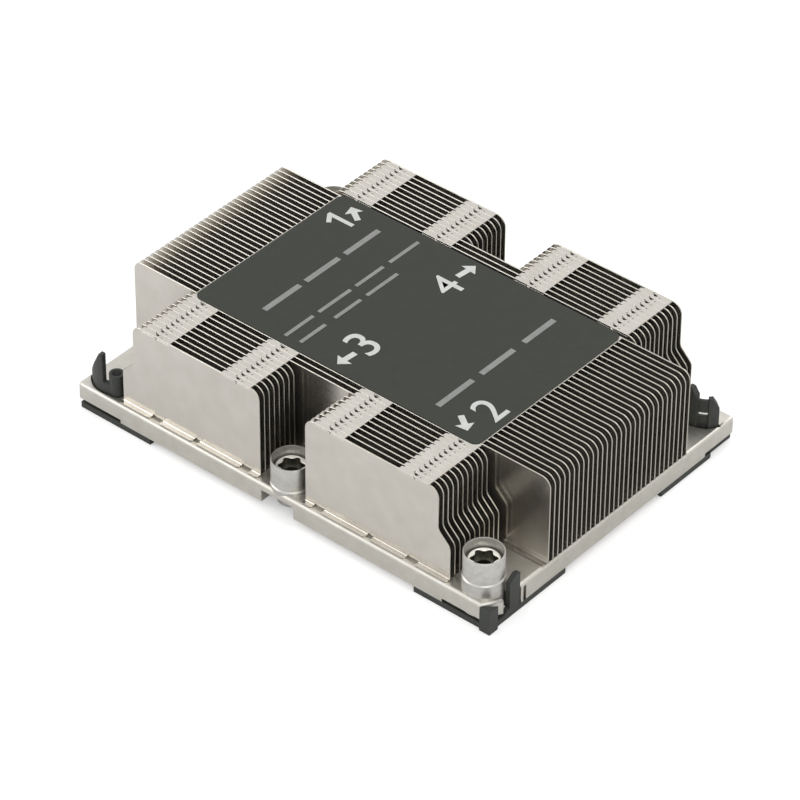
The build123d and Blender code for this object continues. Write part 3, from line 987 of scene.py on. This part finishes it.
def makeCamera():
    size = cameraSize
    turn, rise, roll = radians(size["azimuth"]), radians(size["elevation"]), radians(size["roll"])
    back = Vector((sin(turn) * cos(rise), -cos(turn) * cos(rise), sin(rise)))
    right = Vector((cos(turn), sin(turn), 0))
    up = back.cross(right)
    rolledRight = right * cos(roll) + up * sin(roll)
    rolledUp = up * cos(roll) - right * sin(roll)
    camera = bpy.data.cameras.new("photoCamera")
    camera.sensor_width = size["sensor"]
    camera.lens = size["focalPixels"] / size["framePixels"] * size["sensor"]
    camera.clip_start = 0.01
    holder = bpy.data.objects.new("photoCamera", camera)
    holder.matrix_world = Matrix.Translation(
        (Vector(size["target"]) + back * size["distance"]) * mm
    ) @ Matrix((rolledRight, rolledUp, back)).transposed().to_4x4()
    bpy.context.scene.collection.objects.link(holder)
    bpy.context.scene.camera = holder


makeCamera()


# White studio: floor, surroundings and soft lamps, with lengths in metres

studio = {
    "floorReach": 3.0,
    "floorColour": 0.9,
    "floorGlow": 0.32,
    "floorDrop": 0.00002,
    "fill": 0.6,
}
lamps = {
    "topLamp": {"place": (0.1, 0.1, 0.9), "size": 1.25, "power": 2.2},
    "leftLamp": {"place": (-0.8, -0.55, 0.55), "size": 0.7, "power": 2.8},
    "rightLamp": {"place": (0.6, -0.45, 0.5), "size": 0.4, "power": 1.2},
    "backLamp": {"place": (0.05, 0.75, 0.5), "size": 0.5, "power": 1.6},
}


def makeFloor():
    material, tree, shader = paintTree("studioFloor")
    clouds = grain(tree, 2.0)
    tint = toned(tree, clouds, (studio["floorColour"],) * 3, (studio["floorColour"] + 0.01,) * 3)
    tree.links.new(tint.outputs["Color"], shader.inputs["Base Color"])
    shader.inputs["Roughness"].default_value = 0.9
    shader.inputs["Specular IOR Level"].default_value = 0.1
    # For the camera the floor glows a little more, so that it is white around a soft shadow
    path = tree.nodes.new("ShaderNodeLightPath")
    glow = addNode(tree, "ShaderNodeMath", [(0, path, "Is Camera Ray")], operation="MULTIPLY")
    glow.inputs[1].default_value = studio["floorGlow"]
    shader.inputs["Emission Color"].default_value = (1, 1, 1, 1)
    tree.links.new(glow.outputs["Value"], shader.inputs["Emission Strength"])
    reach = studio["floorReach"]
    mesh = bpy.data.meshes.new("studioFloor")
    level = clipBottom - studio["floorDrop"]
    corners = [
        (-reach, -reach, level), (reach, -reach, level), (reach, reach, level), (-reach, reach, level)]
    mesh.from_pydata(corners, [], [(0, 1, 2, 3)])
    mesh.materials.append(material)
    floor = bpy.data.objects.new("studioFloor", mesh)
    bpy.context.scene.collection.objects.link(floor)


def makeWorld():
    world = bpy.data.worlds.new("studioWorld")
    bpy.context.scene.world = world
    world.use_nodes = True
    tree = world.node_tree
    tree.nodes.clear()
    output = tree.nodes.new("ShaderNodeOutputWorld")
    soft = tree.nodes.new("ShaderNodeBackground")
    soft.inputs["Color"].default_value = (1, 1, 1, 1)
    soft.inputs["Strength"].default_value = studio["fill"]
    white = tree.nodes.new("ShaderNodeBackground")
    white.inputs["Color"].default_value = (1, 1, 1, 1)
    white.inputs["Strength"].default_value = 1.0
    path = tree.nodes.new("ShaderNodeLightPath")
    seen = addNode(
        tree, "ShaderNodeMath", [(0, path, "Is Camera Ray"), (1, path, "Is Glossy Ray")],
        operation="MAXIMUM")
    mix = addNode(tree, "ShaderNodeMixShader", [("Fac", seen, "Value")])
    tree.links.new(soft.outputs["Background"], mix.inputs[1])
    tree.links.new(white.outputs["Background"], mix.inputs[2])
    tree.links.new(mix.outputs["Shader"], output.inputs["Surface"])


def makeLamp(name, place, size, power):
    light = bpy.data.lights.new(name, "AREA")
    light.shape = "DISK"
    light.size = size
    light.energy = power
    holder = bpy.data.objects.new(name, light)
    aim = Vector((0, 0, 0.01)) - Vector(place)
    holder.matrix_world = Matrix.Translation(place) @ aim.to_track_quat("-Z", "Y").to_matrix().to_4x4()
    bpy.context.scene.collection.objects.link(holder)


makeFloor()
makeWorld()
for lampName, lamp in lamps.items():
    makeLamp(lampName, lamp["place"], lamp["size"], lamp["power"])
bpy.context.scene.view_settings.view_transform = "Standard"
print("studio ready")
